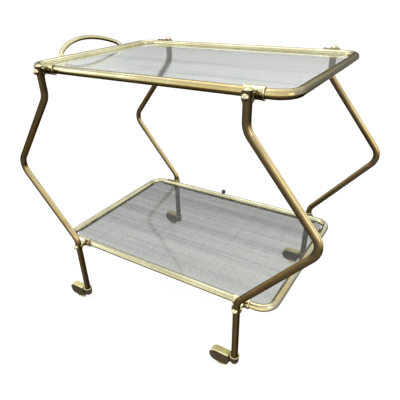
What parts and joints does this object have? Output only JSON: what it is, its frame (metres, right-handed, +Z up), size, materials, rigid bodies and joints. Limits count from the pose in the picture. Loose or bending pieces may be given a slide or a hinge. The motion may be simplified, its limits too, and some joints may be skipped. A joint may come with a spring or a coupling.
{
  "type": "bar cart",
  "caption": "Two-tier bar cart with bent brass tube legs, glass shelves in round-cornered tube frames, a bow handle and hooded swivel casters.",
  "frame": {"origin": "on the floor, midway between the four legs", "axes": "+Z up, +X along the shelves away from the handle, +Y across the shelves towards the back"},
  "size_m": [0.8534, 0.5542, 0.7381],
  "materials": {
    "leg_brass": "polished, aged darker, with fine lengthwise streaks",
    "cap_brass": "polished, darkened at the rim",
    "rail_brass": "polished and lightly tarnished",
    "cast_brass": "cast and polished, dark in the corners",
    "screw_brass": "polished dome",
    "pane_glass": "clear float glass with dust and fine wiping streaks",
    "clear_pad": "soft clear pad",
    "knob_rubber": "dull dark ball",
    "stem_steel": "plain turned steel",
    "wheel_brass": "turned and polished disc",
    "tyre_rubber": "matt black rubber"
  },
  "bodies": {
    "frame": {"leg_front_left": "leg_brass", "leg_front_right": "leg_brass", "leg_back_left": "leg_brass", "leg_back_right": "leg_brass", "cap_front_left": "cap_brass", "cap_front_right": "cap_brass", "cap_back_left": "cap_brass", "cap_back_right": "cap_brass", "rail_top": "rail_brass", "rail_low": "rail_brass", "fitting_top_front_left": "cast_brass", "fitting_top_front_right": "cast_brass", "fitting_top_back_left": "cast_brass", "fitting_top_back_right": "cast_brass", "fitting_low_front_left": "cast_brass", "fitting_low_front_right": "cast_brass", "fitting_low_back_left": "cast_brass", "fitting_low_back_right": "cast_brass", "fitting_screws": "screw_brass", "ledge_top_front": "rail_brass", "ledge_top_back": "rail_brass", "ledge_top_left": "rail_brass", "ledge_top_right": "rail_brass", "ledge_low_front": "rail_brass", "ledge_low_back": "rail_brass", "ledge_low_left": "rail_brass", "ledge_low_right": "rail_brass", "pads_top": "clear_pad", "pads_low": "clear_pad", "glass_top": "pane_glass", "glass_low": "pane_glass", "handle": "rail_brass", "ferrule_front": "cast_brass", "ferrule_back": "cast_brass", "rear_knob": "knob_rubber", "stem_front_left": "stem_steel", "stem_front_right": "stem_steel", "stem_back_left": "stem_steel", "stem_back_right": "stem_steel"},
    "caster_front_left": {"hood_front_left": "cast_brass", "axle_front_left": "stem_steel"},
    "roller_front_left": {"wheel_front_left": "wheel_brass", "tyre_front_left": "tyre_rubber"},
    "caster_front_right": {"hood_front_right": "cast_brass", "axle_front_right": "stem_steel"},
    "roller_front_right": {"wheel_front_right": "wheel_brass", "tyre_front_right": "tyre_rubber"},
    "caster_back_left": {"hood_back_left": "cast_brass", "axle_back_left": "stem_steel"},
    "roller_back_left": {"wheel_back_left": "wheel_brass", "tyre_back_left": "tyre_rubber"},
    "caster_back_right": {"hood_back_right": "cast_brass", "axle_back_right": "stem_steel"},
    "roller_back_right": {"wheel_back_right": "wheel_brass", "tyre_back_right": "tyre_rubber"}
  },
  "joints": [
    {"name": "swivel_front_left", "type": "hinge", "parent": "frame", "child": "caster_front_left", "pos_m": [-0.2584, -0.25605, 0.04], "axis": [0, 0, 1], "continuous": true},
    {"name": "roll_front_left", "type": "hinge", "parent": "caster_front_left", "child": "roller_front_left", "pos_m": [-0.2949, -0.25605, 0.0215], "axis": [0, 1, 0], "continuous": true},
    {"name": "swivel_front_right", "type": "hinge", "parent": "frame", "child": "caster_front_right", "pos_m": [0.2584, -0.25605, 0.04], "axis": [0, 0, 1], "continuous": true},
    {"name": "roll_front_right", "type": "hinge", "parent": "caster_front_right", "child": "roller_front_right", "pos_m": [0.2219, -0.25605, 0.0215], "axis": [0, 1, 0], "continuous": true},
    {"name": "swivel_back_left", "type": "hinge", "parent": "frame", "child": "caster_back_left", "pos_m": [-0.2584, 0.25605, 0.04], "axis": [0, 0, 1], "continuous": true},
    {"name": "roll_back_left", "type": "hinge", "parent": "caster_back_left", "child": "roller_back_left", "pos_m": [-0.29396, 0.26426, 0.0215], "axis": [0.225, 0.9744, 0], "continuous": true},
    {"name": "swivel_back_right", "type": "hinge", "parent": "frame", "child": "caster_back_right", "pos_m": [0.2584, 0.25605, 0.04], "axis": [0, 0, 1], "continuous": true},
    {"name": "roll_back_right", "type": "hinge", "parent": "caster_back_right", "child": "roller_back_right", "pos_m": [0.2219, 0.25605, 0.0215], "axis": [0, 1, 0], "continuous": true}
  ]
}
